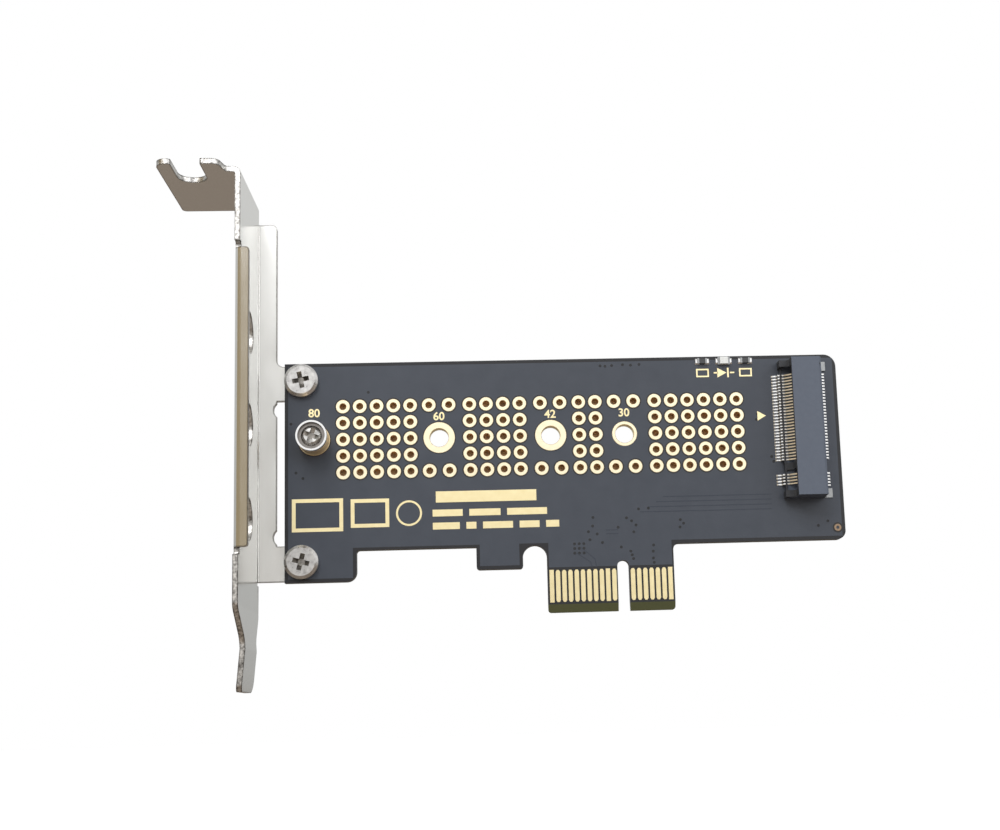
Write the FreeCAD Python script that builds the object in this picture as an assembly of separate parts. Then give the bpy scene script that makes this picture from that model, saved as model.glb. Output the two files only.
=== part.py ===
"""Adapter card that carries one M.2 solid-state drive in a single-lane expansion slot.

Frame, in millimetres: X runs along the card, away from the metal bracket. Y runs through the
board, from its component side (Y = 0) to its rear side. Z runs up, away from the slot. The
origin is the middle of the key notch, on the bottom line of the edge connector.
"""

import FreeCAD, Part
import math
import os

Vector = FreeCAD.Vector

# ---------------------------------------------------------------- circuit board
board_thickness = 1.6
board_post_margin = 4.7         # from the fitted drive's post to the bracket end
board_socket_margin = 5.3       # from the drive's stop line to the far end
board_top = 41.3                # top edge, above the connector's bottom line
shoulder_level = 10.6           # lower edge on both sides of the connector tongue
foot_level = 5.8                # lower edge beside the bracket
foot_width = 11.3
lug_level = 7.15                # lower edge of the retention lug
lug_width = 7.4
board_corner_radius = 2.0
small_round_sides = 8           # flats on the smallest holes and pegs, which are many
foot_corner_radius = 1.6
small_corner_radius = 0.5
inner_corner_radius = 1.0

# edge connector tongue, one lane: eleven contacts, key notch, seven contacts
contact_pitch = 1.0
contact_width = 0.7
contact_length = 5.2
contact_rise = 1.6              # bottom end of the contacts, above the tongue's edge
contact_end_flats = 3           # flats around each rounded contact end
plating_thickness = 0.05
contacts_before_key = 11
contacts_after_key = 7
key_offset = 1.5                # from the key to the nearest contact's centre, in pitches
key_notch_width = 1.9
key_notch_height = 8.1
tongue_side_margin = 0.65       # from an end contact's centre to the tongue's side
relief_width = 3.85             # arched gap between the tongue and the retention lug
bevel_height = 1.3
bevel_angle = 20.0

# ventilation holes in five rows under the drive
vent_row_count = 5
vent_pitch = 2.7
vent_hole_radius = 0.55
vent_post_clearance = 4.5       # from a post to the nearest full column
vent_post_spacing = 1.6         # short columns left and right of a free post hole
vent_field_end = 6.4            # end of the vented field, in front of the stop line

# ---------------------------------------------------------------- drive fixing
stop_line = 31.0                # where the front edge of a drive stops in the socket
drive_level = 28.7              # centre line of the drive, above the connector's bottom
drive_lengths_free = (30.0, 42.0, 60.0)
drive_length_fitted = 80.0
post_hole_radius = 1.55
standoff_radius = 2.45
standoff_height = 3.2
standoff_stud_radius = 1.5
standoff_thread_radius = 1.0
standoff_thread_depth = 2.2
retaining_head_radius = 2.45
retaining_head_height = 0.9
retaining_dome_radius = 1.65
retaining_cup_depth = 0.55
retaining_rim_wall = 0.3
retaining_recess_depth = 0.7
retaining_screw_turn = 20.0
retaining_shank_length = 2.0
rear_nut_flats = 5.5
rear_nut_height = 1.5

# ---------------------------------------------------------------- bracket
sheet_thickness = 0.86
bend_radius = 0.2               # inside radius of the square bends
bracket_gap = 4.45               # from the board's end to the bracket's inner face
bracket_width = 18.42
bracket_height = 79.2           # from the tab's underside to the tip of the tail
bracket_tip = -11.3             # level of the tail's tip
tab_length = 11.5               # beyond the bracket's outer face
tab_overhang = 3.3              # beyond the bracket's near edge
tab_notch_width = 4.42
tab_notch_depth = 7.8
tab_notch_inset = 4.53          # from the tab's end to the notch's middle
tab_near_radius = 1.6
tab_far_radius = 0.8
tab_neck = 1.4                  # where the tab narrows beside its bend
near_lip_width = 2.2
near_lip_drop = 12.05            # from the tab's underside to the lip's top
near_lip_bottom = 9.8
relief_height = 1.1             # gaps at the ends of a bent-over edge
flange_drop = 2.5               # from the tab's underside to the flange's top
flange_strip_width = 3.8        # from the bracket's outer face
ear_height = 5.7
ear_overreach = 3.1             # past the screw's centre
ear_corner_radius = 1.0
window_corner_radius = 1.45
window_corner_bite = 0.5        # how far a window corner reaches into the strip
bracket_vent_radius = 3.3
bracket_vent_pitch = 14.85
bracket_vent_level = 30.05
bracket_vent_count = 3
tail_width = 10.19
tail_taper_top = 0.8
tail_taper_bottom = -3.4
tail_fold_upper = 1.2
tail_fold_lower = -4.9
tail_lean_in = 4.0              # degrees, between the two folds
tail_lean_out = 5.0             # degrees, below the lower fold
tail_fold_radius = 1.5
tail_near_radius = 1.0
tail_far_radius = 2.2

# bracket screws
bracket_screw_offset = 2.7      # from the board's end to the screws
bracket_screw_levels = (9.0, 38.4)
bracket_screw_turns = (15.0, -12.0)
bracket_screw_radius = 1.5
bracket_screw_length = 4.0
bracket_head_radius = 2.7
bracket_head_height = 1.3
screw_clearance = 0.1
thread_clearance = 0.02

# ---------------------------------------------------------------- drive socket
# distances along the card are from the stop line, heights are above the board
socket_front = -4.2
socket_back = 2.0
socket_end_clearance = 0.84     # from the last contact to an end wall
socket_cheek_length = 1.1
socket_cheek_front = -4.45
socket_cheek_height = 1.9
socket_height = 4.2
socket_roof_front = -2.85
socket_roof_thickness = 0.7
socket_floor_bottom = 0.1
socket_floor_top = 0.6
socket_lip_depth = 0.25
socket_lip_top = 1.0
socket_stop_top = 3.0
socket_back_wall = 0.6
socket_key_width = 1.2
socket_key_position = -6.125
socket_chamfer = 0.35
peg_radii = (0.55, 0.8)
peg_position = -1.2
peg_length = 1.4
peg_clearance = 0.03

pin_pitch = 0.5                 # along each row of socket contacts
pin_width = 0.22
pin_thickness = 0.15
pin_first_upper = 9.25
pin_first_lower = 9.0
pin_counts_upper = (29, 5)      # before and after the key
pin_counts_lower = (29, 4)
pin_count_missing = 4           # positions taken by the key
pin_tail_rise = 0.15            # length over which a soldered tail bends up to the socket's floor
lower_tail_length = 0.9         # in front of the socket
lower_run_length = 0.7          # along the socket's floor, behind its front
lower_tip = (-1.6, 2.2)         # free end of a contact under the drive
upper_tail_length = 1.0         # behind the socket
upper_tail_reach = 0.35         # from the back wall to the bend
upper_tip = -1.2                # free end of a contact over the drive

hold_down_width = 1.5
hold_down_foot = 1.5
hold_down_height = 2.0
hold_down_thickness = 0.2

# ---------------------------------------------------------------- small parts
chip_level = 0.8                # centre of the top row, below the board's top edge
resistor_size = (1.6, 0.8, 0.45)
resistor_cap = 0.3
led_size = (2.0, 1.2, 0.35)
led_lens_size = (1.3, 1.1, 0.4)
led_cap = 0.35
lamp_resistor_position = 21.3
lamp_position = 17.75
sense_resistor_position = 14.2

converter_size = (3.0, 3.0, 0.9)
converter_place = (-6.95, 11.6)
inductor_size = (4.0, 4.0, 1.9)
inductor_place = (-0.9, 14.6)
inductor_terminal = 0.8
rear_resistor_size = (1.0, 0.5, 0.35)
rear_resistor_cap = 0.2
rear_resistor_places = ((-9.6, 14.6), (-8.2, 14.6))
small_capacitor_size = (1.6, 0.8, 0.8)
small_capacitor_cap = 0.3
small_capacitor_places = ((22.4, 22.6), (22.4, 34.4), (3.9, 12.4))
bulk_capacitor_size = (3.2, 1.6, 1.4)
bulk_capacitor_cap = 0.5
bulk_capacitor_places = ((-10.9, 19.4), (-5.6, 19.4))

# ---------------------------------------------------------------- derived places
fitted_post_x = stop_line - drive_length_fitted
board_left = fitted_post_x - board_post_margin
board_right = stop_line + board_socket_margin
tongue_left = -(key_offset + contacts_before_key - 1) * contact_pitch - tongue_side_margin
tongue_right = (key_offset + contacts_after_key - 1) * contact_pitch + tongue_side_margin
lug_right = tongue_left - relief_width
lug_left = lug_right - lug_width
foot_right = board_left + foot_width

bracket_inner = board_left - bracket_gap
bracket_outer = bracket_inner - sheet_thickness
bracket_far = board_thickness + sheet_thickness
bracket_near = bracket_far - bracket_width
tab_underside = bracket_tip + bracket_height
near_lip_top = tab_underside - near_lip_drop
flange_top = tab_underside - flange_drop
bend_reach = sheet_thickness + bend_radius
bracket_screw_x = board_left + bracket_screw_offset
flange_bottom = bracket_screw_levels[0] - ear_height / 2
socket_inner_half = pin_first_upper + pin_width / 2 + socket_end_clearance
socket_half_length = socket_inner_half + socket_cheek_length


# ---------------------------------------------------------------- drawing helpers
def front_plane(y):
    """Places a point drawn as (x, z) at depth y."""
    return lambda x, z: Vector(x, y, z)


def top_plane(z):
    """Places a point drawn as (x, y) at level z."""
    return lambda x, y: Vector(x, y, z)


def side_plane(x):
    """Places a point drawn as (y, z) at distance x."""
    return lambda y, z: Vector(x, y, z)


def corner_arc(before, corner, after, radius):
    """Start, middle and end of the arc that rounds one corner."""
    to_before = (before - corner).normalize()
    to_after = (after - corner).normalize()
    half_angle = to_before.getAngle(to_after) / 2
    reach = radius / math.tan(half_angle)
    bisector = (to_before + to_after).normalize()
    centre = corner + bisector * (radius / math.sin(half_angle))
    return corner + to_before * reach, centre - bisector * radius, corner + to_after * reach


def rounded_face(corners, place):
    """Face inside an outline of (u, v, radius) corners, a radius of 0 being sharp."""
    points = [place(u, v) for u, v, _ in corners]
    stretches = []
    for index, (_, _, radius) in enumerate(corners):
        before = points[index - 1]
        after = points[(index + 1) % len(points)]
        if radius > 0:
            stretches.append(corner_arc(before, points[index], after, radius))
        else:
            stretches.append((points[index],))
    edges = []
    for index, stretch in enumerate(stretches):
        if len(stretch) == 3:
            edges.append(Part.Arc(*stretch).toShape())
        following = stretches[(index + 1) % len(stretches)][0]
        if (following - stretch[-1]).Length > 1e-5:
            edges.append(Part.makeLine(stretch[-1], following))
    return Part.Face(Part.Wire(edges))


def sharp(points):
    """Gives plain (u, v) points no corner radius."""
    return [(u, v, 0) for u, v in points]


def shifted_line(points, offset):
    """Line of points beside a path, its corners mitred; a positive offset is to the left."""
    directions = []
    for start, end in zip(points, points[1:]):
        length = math.dist(start, end)
        directions.append(((end[0] - start[0]) / length, (end[1] - start[1]) / length))
    directions = [directions[0]] + directions + [directions[-1]]
    shifted = []
    for point, incoming, outgoing in zip(points, directions, directions[1:]):
        normal_x = -(incoming[1] + outgoing[1])
        normal_y = incoming[0] + outgoing[0]
        stretch = 1 + incoming[0] * outgoing[0] + incoming[1] * outgoing[1]
        shifted.append((point[0] + normal_x * offset / stretch, point[1] + normal_y * offset / stretch))
    return shifted


def strip_outline(path, thickness, radii=None):
    """Outline of a bent strip around its middle line, with an inside radius at each bend."""
    left = shifted_line(path, thickness / 2)
    right = shifted_line(path, -thickness / 2)
    radii = radii or [0] * len(path)
    left_corners = []
    right_corners = []
    for index, radius in enumerate(radii):
        left_radius = radius
        right_radius = radius
        if radius > 0:
            before, point, after = path[index - 1:index + 2]
            turn = (point[0] - before[0]) * (after[1] - point[1]) - (point[1] - before[1]) * (after[0] - point[0])
            left_radius += thickness if turn < 0 else 0
            right_radius += thickness if turn > 0 else 0
        left_corners.append((left[index][0], left[index][1], left_radius))
        right_corners.append((right[index][0], right[index][1], right_radius))
    return left_corners + right_corners[::-1]


def box(x_range, y_range, z_range):
    """Block between the two limits on each axis."""
    size = [high - low for low, high in (x_range, y_range, z_range)]
    return Part.makeBox(*size, Vector(x_range[0], y_range[0], z_range[0]))


def round_bar(x, z, radius, y_from, y_to):
    """Cylinder along Y."""
    return Part.makeCylinder(radius, y_to - y_from, Vector(x, y_from, z), Vector(0, 1, 0))


def small_round_bar(x, z, radius, y_from, y_to):
    """Bar along Y for a small round hole or peg, with flats that touch the radius."""
    corner_radius = radius / math.cos(math.pi / small_round_sides)
    corners = []
    for index in range(small_round_sides):
        angle = (2 * index + 1) * math.pi / small_round_sides
        corners.append((x + corner_radius * math.cos(angle), z + corner_radius * math.sin(angle)))
    return rounded_face(sharp(corners), front_plane(y_from)).extrude(Vector(0, y_to - y_from, 0))


def turned(corners):
    """Solid turned about the Y axis from an outline of (radius, y, chamfer) corners."""
    points = []
    for index, (radius, y, chamfer) in enumerate(corners):
        if chamfer == 0:
            points.append((radius, y))
            continue
        for other in (corners[index - 1], corners[(index + 1) % len(corners)]):
            share = chamfer / math.dist((radius, y), other[:2])
            points.append((radius + (other[0] - radius) * share, y + (other[1] - y) * share))
    face = rounded_face(sharp(points), top_plane(0))
    return face.revolve(Vector(0, 0, 0), Vector(0, 1, 0), 360)


def fuse_all(shapes):
    """One solid from shapes that touch or overlap."""
    return shapes[0].multiFuse(shapes[1:]).removeSplitter()


# ---------------------------------------------------------------- circuit board
def board_outline():
    """Board outline seen from the component side, clockwise from its top left corner."""
    notch = key_notch_width / 2
    arch = relief_width / 2
    arch_top = shoulder_level + 0.25
    recess_top = shoulder_level + 0.15
    return [
        (board_left, board_top, 0),
        (board_right, board_top, board_corner_radius),
        (board_right, shoulder_level, 0.7 * board_corner_radius),
        (tongue_right, shoulder_level, inner_corner_radius),
        (tongue_right, 0, small_corner_radius),
        (notch, 0, 0),
        (notch, key_notch_height, notch),
        (-notch, key_notch_height, notch),
        (-notch, 0, 0),
        (tongue_left, 0, small_corner_radius),
        (tongue_left, arch_top, arch),
        (lug_right, arch_top, arch),
        (lug_right, lug_level, small_corner_radius),
        (lug_left, lug_level, small_corner_radius),
        (lug_left, recess_top, 0),
        (foot_right, recess_top, small_corner_radius),
        (foot_right, foot_level, foot_corner_radius),
        (board_left, foot_level, 0),
    ]


def vent_hole_places():
    """Centres of all ventilation holes."""
    half_rows = (vent_row_count - 1) // 2
    rows = [drive_level + row * vent_pitch for row in range(-half_rows, half_rows + 1)]
    posts = sorted(stop_line - length for length in drive_lengths_free)
    bounds = [fitted_post_x] + posts + [stop_line - vent_field_end]
    places = []
    for left, right in zip(bounds, bounds[1:]):
        room = right - left - 2 * vent_post_clearance
        steps = math.floor(room / vent_pitch)
        first = (left + right - steps * vent_pitch) / 2
        columns = [first + column * vent_pitch for column in range(steps + 1)]
        places += [(x, z) for x in columns for z in rows]
    for post in posts:
        for x in (post - vent_post_spacing, post + vent_post_spacing):
            places += [(x, rows[0]), (x, rows[-1])]
    return places


def tongue_bevels():
    """Two wedges that thin the bottom edge of the tongue."""
    depth = bevel_height * math.tan(math.radians(bevel_angle))
    span = Vector(tongue_right - tongue_left, 0, 0)
    wedges = []
    for face_y, inward in ((0, 1), (board_thickness, -1)):
        wedge = sharp([(face_y, bevel_height), (face_y + inward * depth, 0), (face_y, 0)])
        wedges.append(rounded_face(wedge, side_plane(tongue_left)).extrude(span))
    return wedges


def circuit_board():
    """Board with its tongue, bevels and all holes."""
    blank = rounded_face(board_outline(), front_plane(0)).extrude(Vector(0, board_thickness, 0))
    small_holes = [(x, z, vent_hole_radius) for x, z in vent_hole_places()]
    small_holes += [(x, z, radius + peg_clearance) for x, z, radius in peg_places()]
    posts = drive_lengths_free + (drive_length_fitted,)
    holes = [(stop_line - length, drive_level, post_hole_radius) for length in posts]
    holes += [(bracket_screw_x, z, bracket_screw_radius + screw_clearance) for z in bracket_screw_levels]
    cuts = [small_round_bar(x, z, radius, 0, board_thickness) for x, z, radius in small_holes]
    cuts += [round_bar(x, z, radius, 0, board_thickness) for x, z, radius in holes]
    return blank.cut(cuts + tongue_bevels())


def contact_columns():
    """Centres of the edge contacts along the tongue."""
    before = [-(key_offset + index) * contact_pitch for index in range(contacts_before_key)]
    after = [(key_offset + index) * contact_pitch for index in range(contacts_after_key)]
    return sorted(before + after)


def contact_outline(x, square_ended):
    """Outline of one edge contact, its round ends drawn with a few flats."""
    half = contact_width / 2
    low = contact_rise
    high = contact_rise + contact_length
    if square_ended:
        return [(x - half, low), (x + half, low), (x + half, high), (x - half, high)]
    points = []
    for centre, first_angle in ((low + half, math.pi), (high - half, 0)):
        for step in range(contact_end_flats + 1):
            angle = first_angle + step * math.pi / contact_end_flats
            points.append((x + half * math.cos(angle), centre + half * math.sin(angle)))
    return points


def edge_contacts(y_from, y_to):
    """Plated contacts of one side of the tongue; three of them have square ends."""
    columns = contact_columns()
    square_ended = (0, contacts_before_key - 2, len(columns) - 1)
    contacts = []
    for index, x in enumerate(columns):
        face = rounded_face(sharp(contact_outline(x, index in square_ended)), front_plane(y_from))
        contacts.append(face.extrude(Vector(0, y_to - y_from, 0)))
    return Part.makeCompound(contacts)


# ---------------------------------------------------------------- bracket
def bracket_long_profile():
    """Sheet seen from the component side: the tab, its bend, the plate and the folded tail."""
    plate_x = (bracket_inner + bracket_outer) / 2
    tab_z = tab_underside + sheet_thickness / 2
    lean_in = math.tan(math.radians(tail_lean_in))
    lean_out = math.tan(math.radians(tail_lean_out))
    fold_x = plate_x + (tail_fold_upper - tail_fold_lower) * lean_in
    end_z = bracket_tip - sheet_thickness
    end_x = fold_x - (tail_fold_lower - end_z) * lean_out
    path = [
        (bracket_outer - tab_length, tab_z),
        (plate_x, tab_z),
        (plate_x, tail_fold_upper),
        (fold_x, tail_fold_lower),
        (end_x, end_z),
    ]
    return strip_outline(path, sheet_thickness, [0, bend_radius, tail_fold_radius, tail_fold_radius, 0])


def plate_outline():
    """Edge of the plate and tail, seen along the card."""
    near_root = bracket_near + bend_reach
    far_root = bracket_far - bend_reach
    taper = (bracket_width - tail_width) / 2
    upper_relief = near_lip_top + relief_height
    lower_relief = near_lip_bottom - relief_height
    flange_relief = flange_bottom - relief_height / 2
    relief_corner = 0.4 * relief_height
    above_tab = tab_underside + 2 * bend_reach
    return [
        (bracket_near, above_tab, 0),
        (bracket_near, upper_relief, 0),
        (near_root, upper_relief, relief_corner),
        (near_root, lower_relief, relief_corner),
        (bracket_near, lower_relief, 0),
        (bracket_near, tail_taper_top, tail_far_radius),
        (bracket_near + taper, tail_taper_bottom, tail_far_radius),
        (bracket_near + taper, bracket_tip, tail_near_radius),
        (bracket_far - taper, bracket_tip, tail_far_radius),
        (bracket_far - taper, tail_taper_bottom, tail_far_radius),
        (bracket_far, tail_taper_top, tail_far_radius),
        (bracket_far, flange_relief, 0),
        (far_root, flange_relief, 0),
        (far_root, above_tab, 0),
    ]


def tab_outline():
    """Edge of the tab seen from above, with its open screw notch."""
    end = bracket_outer - tab_length
    near = bracket_near - tab_overhang
    far = bracket_far - bend_reach
    notch_left = end + tab_notch_inset - tab_notch_width / 2
    notch_right = notch_left + tab_notch_width
    notch_bottom = near + tab_notch_depth
    return [
        (bracket_inner, far, 0),
        (end, far, tab_far_radius),
        (end, near, tab_near_radius),
        (notch_left, near, small_corner_radius),
        (notch_left, notch_bottom, tab_notch_width / 2),
        (notch_right, notch_bottom, tab_notch_width / 2),
        (notch_right, near, 0.5 * small_corner_radius),
        (bracket_outer - 1.5 * tab_neck, near, tab_neck),
        (bracket_outer - tab_neck, bracket_near, 0.5 * tab_neck),
        (bracket_inner, bracket_near, 0),
    ]


def near_lip():
    """Narrow edge bent over along the plate's near side, with rounded free corners."""
    lip_y = bracket_near + sheet_thickness / 2
    plate_x = (bracket_inner + bracket_outer) / 2
    free_x = bracket_outer + near_lip_width
    path = [(plate_x, bracket_near + bend_reach), (plate_x, lip_y), (free_x, lip_y)]
    height = near_lip_top - near_lip_bottom
    profile = rounded_face(strip_outline(path, sheet_thickness, [0, bend_radius, 0]), top_plane(near_lip_bottom))
    lip = profile.extrude(Vector(0, 0, height))
    edge = rounded_face([
        (bracket_outer, near_lip_bottom, 0),
        (free_x, near_lip_bottom, small_corner_radius),
        (free_x, near_lip_top, small_corner_radius),
        (bracket_outer, near_lip_top, 0),
    ], front_plane(bracket_near))
    return lip.common(edge.extrude(Vector(0, bend_reach, 0)))


def flange_outline():
    """Flange seen from the component side: a narrow strip with two screw ears."""
    lower, upper = bracket_screw_levels
    strip_edge = bracket_outer + flange_strip_width
    ear_end = bracket_screw_x + ear_overreach
    half = ear_height / 2
    return [
        (bracket_outer, flange_top, 0),
        (strip_edge, flange_top, 1.7 * small_corner_radius),
        (strip_edge, upper + half, 1.2 * ear_corner_radius),
        (ear_end, upper + half, ear_corner_radius),
        (ear_end, upper - half, ear_corner_radius),
        (strip_edge, upper - half, 0),
        (strip_edge, lower + half, 0),
        (ear_end, lower + half, ear_corner_radius),
        (ear_end, lower - half, ear_corner_radius),
        (bracket_outer, lower - half, 0),
    ]


def far_flange():
    """Flange bent along the plate's far side, flat against the rear of the board."""
    lower, upper = bracket_screw_levels
    flange_y = bracket_far - sheet_thickness / 2
    plate_x = (bracket_inner + bracket_outer) / 2
    ear_end = bracket_screw_x + ear_overreach
    path = [(plate_x, bracket_far - bend_reach), (plate_x, flange_y), (ear_end, flange_y)]
    profile = rounded_face(strip_outline(path, sheet_thickness, [0, bend_radius, 0]), top_plane(flange_bottom))
    flange = profile.extrude(Vector(0, 0, flange_top - flange_bottom))
    edge = rounded_face(flange_outline(), front_plane(bracket_far - bend_reach))
    flange = flange.common(edge.extrude(Vector(0, bend_reach, 0)))
    corner_x = bracket_outer + flange_strip_width - window_corner_bite + window_corner_radius
    corner_rise = ear_height / 2 + window_corner_radius
    cuts = []
    for z in (lower + corner_rise, upper - corner_rise):
        cuts.append(round_bar(corner_x, z, window_corner_radius, 0, bracket_far))
    for z in bracket_screw_levels:
        cuts.append(round_bar(bracket_screw_x, z, bracket_screw_radius + thread_clearance, 0, bracket_far))
    return flange.cut(cuts)


def bracket():
    """The folded steel bracket, one piece of sheet."""
    near = bracket_near - tab_overhang
    strip = rounded_face(bracket_long_profile(), front_plane(near))
    strip = strip.extrude(Vector(0, bracket_far - near, 0))
    reach = 4 * bend_reach
    plate_mask = rounded_face(plate_outline(), side_plane(bracket_outer - bend_radius))
    plate_mask = plate_mask.extrude(Vector(reach, 0, 0))
    tab_mask = rounded_face(tab_outline(), top_plane(tab_underside - bend_radius))
    tab_mask = tab_mask.extrude(Vector(0, 0, reach))
    tail_mask = rounded_face(plate_outline(), side_plane(bracket_outer - reach))
    tail_mask = tail_mask.extrude(Vector(2 * reach, 0, 0))
    tail_mask = tail_mask.common(box(
        (bracket_outer - reach, bracket_inner + reach), (near, bracket_far), (bracket_tip, flange_bottom)))
    sheet = strip.common(fuse_all([plate_mask, tab_mask, tail_mask]))
    middle_y = (bracket_near + bracket_far) / 2
    vents = []
    for index in range(bracket_vent_count):
        z = bracket_vent_level + (index - (bracket_vent_count - 1) / 2) * bracket_vent_pitch
        start = Vector(bracket_outer - bend_reach, middle_y, z)
        vents.append(Part.makeCylinder(bracket_vent_radius, reach, start, Vector(1, 0, 0)))
    return fuse_all([sheet.cut(vents), near_lip(), far_flange()])


# ---------------------------------------------------------------- screws and standoff
def cross_recess(radius, depth, top_y):
    """Cross-shaped driver recess whose arms slope inwards as it goes down from top_y."""
    blade = 0.28 * radius
    arm = sharp([(-radius, top_y), (radius, top_y), (0.4 * radius, top_y + depth), (-0.4 * radius, top_y + depth)])
    along_x = rounded_face(arm, top_plane(-blade)).extrude(Vector(0, 0, 2 * blade))
    along_z = along_x.copy()
    along_z.rotate(Vector(0, 0, 0), Vector(0, 1, 0), 90)
    return fuse_all([along_x, along_z])


def bracket_screw(x, z, turn):
    """Flat-topped machine screw through the board into an ear of the bracket."""
    outline = [
        (0, -bracket_head_height, 0),
        (bracket_head_radius, -bracket_head_height, 0.35 * bracket_head_height),
        (bracket_head_radius, 0, 0),
        (bracket_screw_radius, 0, 0),
        (bracket_screw_radius, bracket_screw_length, 0),
        (0, bracket_screw_length, 0),
    ]
    screw = turned(outline).cut(cross_recess(0.5 * bracket_head_radius, 0.7 * bracket_head_height, -bracket_head_height))
    screw.rotate(Vector(0, 0, 0), Vector(0, 1, 0), turn)
    screw.translate(Vector(x, 0, z))
    return screw


def bracket_screws():
    """Both bracket screws."""
    settings = zip(bracket_screw_levels, bracket_screw_turns)
    return Part.makeCompound([bracket_screw(bracket_screw_x, z, turn) for z, turn in settings])


def standoff():
    """Round brass standoff with a stud through the board and a threaded bore for the screw."""
    stud_end = board_thickness + rear_nut_height
    edge = 0.1 * standoff_radius
    outline = [
        (standoff_thread_radius + thread_clearance, -standoff_height, 0),
        (standoff_radius, -standoff_height, edge),
        (standoff_radius, 0, 0),
        (standoff_stud_radius, 0, 0),
        (standoff_stud_radius, stud_end, 0),
        (0, stud_end, 0),
        (0, standoff_thread_depth - standoff_height, 0),
        (standoff_thread_radius + thread_clearance, standoff_thread_depth - standoff_height, 0),
    ]
    post = turned(outline)
    post.translate(Vector(fitted_post_x, 0, drive_level))
    return post


def retaining_screw():
    """Wide cupped head with a domed middle, which clamps the end of a drive to the standoff."""
    under_head = -standoff_height
    rim = under_head - retaining_head_height
    cup = rim + retaining_cup_depth
    cup_radius = retaining_head_radius - retaining_rim_wall
    outline = [
        (0, rim, 0),
        (retaining_dome_radius, rim, 0.9 * retaining_cup_depth),
        (retaining_dome_radius, cup, 0),
        (cup_radius, cup, 0),
        (cup_radius, rim, 0),
        (retaining_head_radius, rim, 0),
        (retaining_head_radius, under_head, 0),
        (standoff_thread_radius, under_head, 0),
        (standoff_thread_radius, under_head + retaining_shank_length, 0),
        (0, under_head + retaining_shank_length, 0),
    ]
    screw = turned(outline).cut(cross_recess(0.8 * retaining_dome_radius, retaining_recess_depth, rim))
    screw.rotate(Vector(0, 0, 0), Vector(0, 1, 0), retaining_screw_turn)
    screw.translate(Vector(fitted_post_x, 0, drive_level))
    return screw


def rear_nut():
    """Thin hexagonal nut on the standoff's stud, behind the board."""
    corner = rear_nut_flats / math.sqrt(3)
    corners = []
    for index in range(6):
        angle = math.radians(60 * index + 30)
        x = fitted_post_x + corner * math.cos(angle)
        corners.append((x, drive_level + corner * math.sin(angle)))
    nut = rounded_face(sharp(corners), front_plane(board_thickness)).extrude(Vector(0, rear_nut_height, 0))
    top = board_thickness + rear_nut_height
    return nut.cut(round_bar(fitted_post_x, drive_level, standoff_stud_radius + thread_clearance, board_thickness, top))


# ---------------------------------------------------------------- drive socket
def socket_block(x_range, height_range, z_range):
    """Block of the socket, given from the stop line, the board's face and the drive's centre line."""
    return box(
        (stop_line + x_range[0], stop_line + x_range[1]),
        (-height_range[1], -height_range[0]),
        (drive_level + z_range[0], drive_level + z_range[1]),
    )


def peg_places():
    """Centre and radius of the socket's two locating pegs."""
    x = stop_line + peg_position
    upper_radius, lower_radius = peg_radii
    return [(x, drive_level + socket_inner_half, upper_radius), (x, drive_level - socket_inner_half, lower_radius)]


def socket_cheek(side):
    """End wall of the socket, low in front and full height behind, with sloped corners."""
    outline = [
        (socket_cheek_front, 0),
        (socket_cheek_front, socket_cheek_height),
        (socket_roof_front - socket_chamfer, socket_cheek_height),
        (socket_roof_front, socket_cheek_height + socket_chamfer),
        (socket_roof_front, socket_height),
        (socket_back - socket_chamfer, socket_height),
        (socket_back, socket_height - socket_chamfer),
        (socket_back, 0),
    ]
    corners = [(stop_line + x, -height, 0) for x, height in outline]
    start = drive_level + (socket_inner_half if side > 0 else -socket_half_length)
    return rounded_face(corners, top_plane(start)).extrude(Vector(0, 0, socket_cheek_length))


def socket_housing():
    """Moulded body: floor, front lip, stop block, back wall and roof between two end walls."""
    span = (-socket_inner_half, socket_inner_half)
    roof_bottom = socket_height - socket_roof_thickness
    stop_back = socket_back - socket_back_wall - pin_thickness
    lip_back = socket_front + socket_lip_depth
    lip_bottom = socket_floor_top + pin_thickness
    pieces = [
        socket_block((socket_front, socket_back), (socket_floor_bottom, socket_floor_top), span),
        socket_block((socket_front, lip_back), (lip_bottom, socket_lip_top), span),
        socket_block((0, stop_back), (socket_floor_top, socket_stop_top), span),
        socket_block((stop_back + pin_thickness, socket_back), (lip_bottom, socket_height - socket_chamfer), span),
        socket_block((socket_roof_front, socket_back - socket_chamfer), (roof_bottom, socket_height), span),
        socket_cheek(1),
        socket_cheek(-1),
    ]
    key_half = socket_key_width / 2
    key = (socket_key_position - key_half, socket_key_position + key_half)
    pieces.append(socket_block((socket_front, 0), (socket_floor_top, socket_lip_top), key))
    pieces.append(socket_block((socket_roof_front, 0), (socket_floor_top, roof_bottom), key))
    for x, z, radius in peg_places():
        pieces.append(small_round_bar(x, z, radius, -socket_floor_top, peg_length))
    return fuse_all(pieces)


def pin_rows(first, counts):
    """Levels of one row's contacts, with the key's gap between its two groups."""
    before, after = counts
    upper = [first - index * pin_pitch for index in range(before)]
    lower = [first - (before + pin_count_missing + index) * pin_pitch for index in range(after)]
    return upper + lower


def pins(path, first, counts):
    """One row of bent contacts on a path of (distance from the stop line, height)."""
    outline = strip_outline([(stop_line + x, -height) for x, height in path], pin_thickness)
    contacts = []
    for level in pin_rows(first, counts):
        start = drive_level + level - pin_width / 2
        contacts.append(rounded_face(outline, top_plane(start)).extrude(Vector(0, 0, pin_width)))
    return Part.makeCompound(contacts)


def lower_contacts():
    """Contacts under the drive, soldered in front of the socket."""
    half = pin_thickness / 2
    run = socket_floor_top + half
    bend = socket_front - lower_tail_length / 3
    path = [
        (socket_front - lower_tail_length, half),
        (bend - pin_tail_rise, half),
        (bend, run),
        (socket_front + lower_run_length, run),
        lower_tip,
    ]
    return pins(path, pin_first_lower, pin_counts_lower)


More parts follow.
